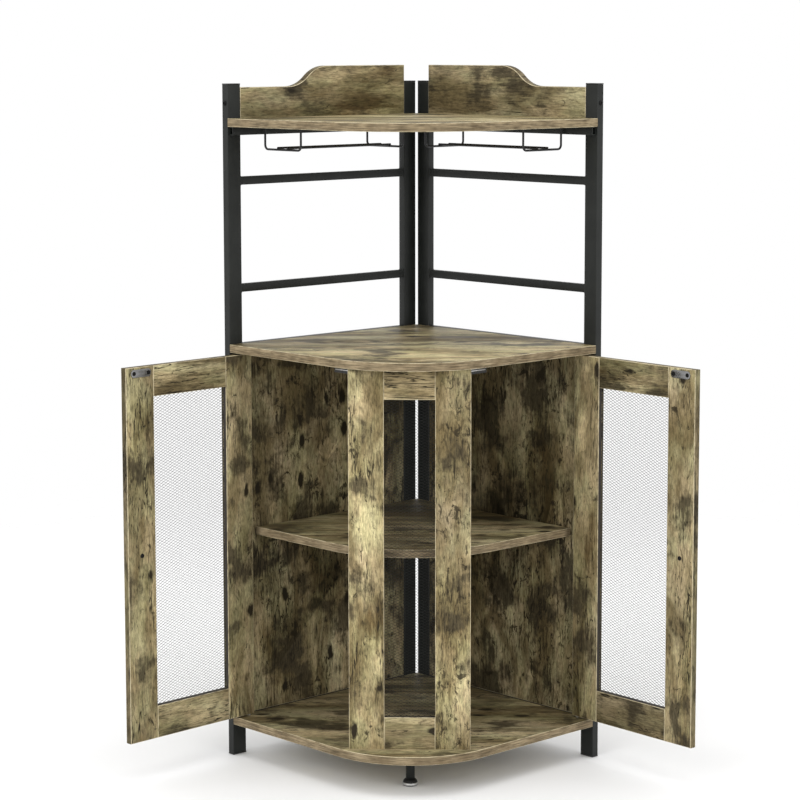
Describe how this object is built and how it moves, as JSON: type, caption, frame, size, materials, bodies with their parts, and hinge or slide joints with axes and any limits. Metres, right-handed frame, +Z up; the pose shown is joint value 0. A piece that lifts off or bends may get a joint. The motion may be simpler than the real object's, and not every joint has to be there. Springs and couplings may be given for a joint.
{
  "type": "corner bar cabinet",
  "caption": "Free-standing corner bar cabinet: black steel side frames, rounded wood boards, open bay with hanging glass racks over a cupboard with mesh doors and a fixed mesh panel.",
  "frame": {"origin": "on the floor, under the middle of the box around the cabinet with its doors standing open", "axes": "+Z up, front towards -Y, the two walls at 45 degrees behind, +X to the right seen from the front"},
  "size_m": [1.0084, 0.5948, 1.262],
  "materials": {
    "wood": "matt weathered grey-brown laminate",
    "frame_steel": "satin black powder coat",
    "mesh_steel": "dark painted expanded metal",
    "wire_steel": "satin black coated wire",
    "black_plastic": "moulded matt black",
    "foot_plastic": "moulded black with a bright rim",
    "pin_steel": "zinc plated",
    "strike_chrome": "bright plated",
    "dark_screw": "blackened steel",
    "knob_metal": "satin black"
  },
  "bodies": {
    "cabinet": {"backboard_bolts": "dark_screw", "bottom_board": "wood", "catch_pole_plates": "pin_steel", "counter_top": "wood", "front_leg": "frame_steel", "inner_shelf": "wood", "left_back_post": "frame_steel", "left_backboard": "wood", "left_bottom_rail": "frame_steel", "left_counter_rail": "frame_steel", "left_front_post": "frame_steel", "left_glass_rack": "wire_steel", "left_lower_rail": "frame_steel", "left_magnet_catch": "black_plastic", "left_shelf_ledge": "frame_steel", "left_side_panel": "wood", "left_upper_rail": "frame_steel", "panel_bottom_rail": "wood", "panel_left_stile": "wood", "panel_mesh": "mesh_steel", "panel_right_stile": "wood", "panel_top_rail": "wood", "post_caps": "black_plastic", "post_feet": "black_plastic", "right_back_post": "frame_steel", "right_backboard": "wood", "right_bottom_rail": "frame_steel", "right_counter_rail": "frame_steel", "right_front_post": "frame_steel", "right_glass_rack": "wire_steel", "right_lower_rail": "frame_steel", "right_magnet_catch": "black_plastic", "right_shelf_ledge": "frame_steel", "right_side_panel": "wood", "right_upper_rail": "frame_steel", "shelf_pins": "pin_steel", "top_shelf": "wood"},
    "left_door": {"left_door_hinge_stile": "wood", "left_door_free_stile": "wood", "left_door_top_rail": "wood", "left_door_bottom_rail": "wood", "left_door_mesh": "mesh_steel", "left_door_pins": "pin_steel", "left_knob": "knob_metal", "left_knob_screw": "dark_screw", "left_strike_plate": "strike_chrome"},
    "right_door": {"right_door_hinge_stile": "wood", "right_door_free_stile": "wood", "right_door_top_rail": "wood", "right_door_bottom_rail": "wood", "right_door_mesh": "mesh_steel", "right_door_pins": "pin_steel", "right_knob": "knob_metal", "right_knob_screw": "dark_screw", "right_strike_plate": "strike_chrome"},
    "foot": {"levelling_foot": "foot_plastic"}
  },
  "joints": [
    {"name": "left_door_hinge", "type": "hinge", "parent": "cabinet", "child": "left_door", "pos_m": [-0.30238, -0.02847, 0], "axis": [0, 0, 1], "range_deg": [-4, 88]},
    {"name": "right_door_hinge", "type": "hinge", "parent": "cabinet", "child": "right_door", "pos_m": [0.30238, -0.02847, 0], "axis": [0, 0, -1], "range_deg": [-4, 88]},
    {"name": "foot_level", "type": "slide", "parent": "cabinet", "child": "foot", "axis": [0, 0, -1], "range_m": [0, 0.01]}
  ]
}
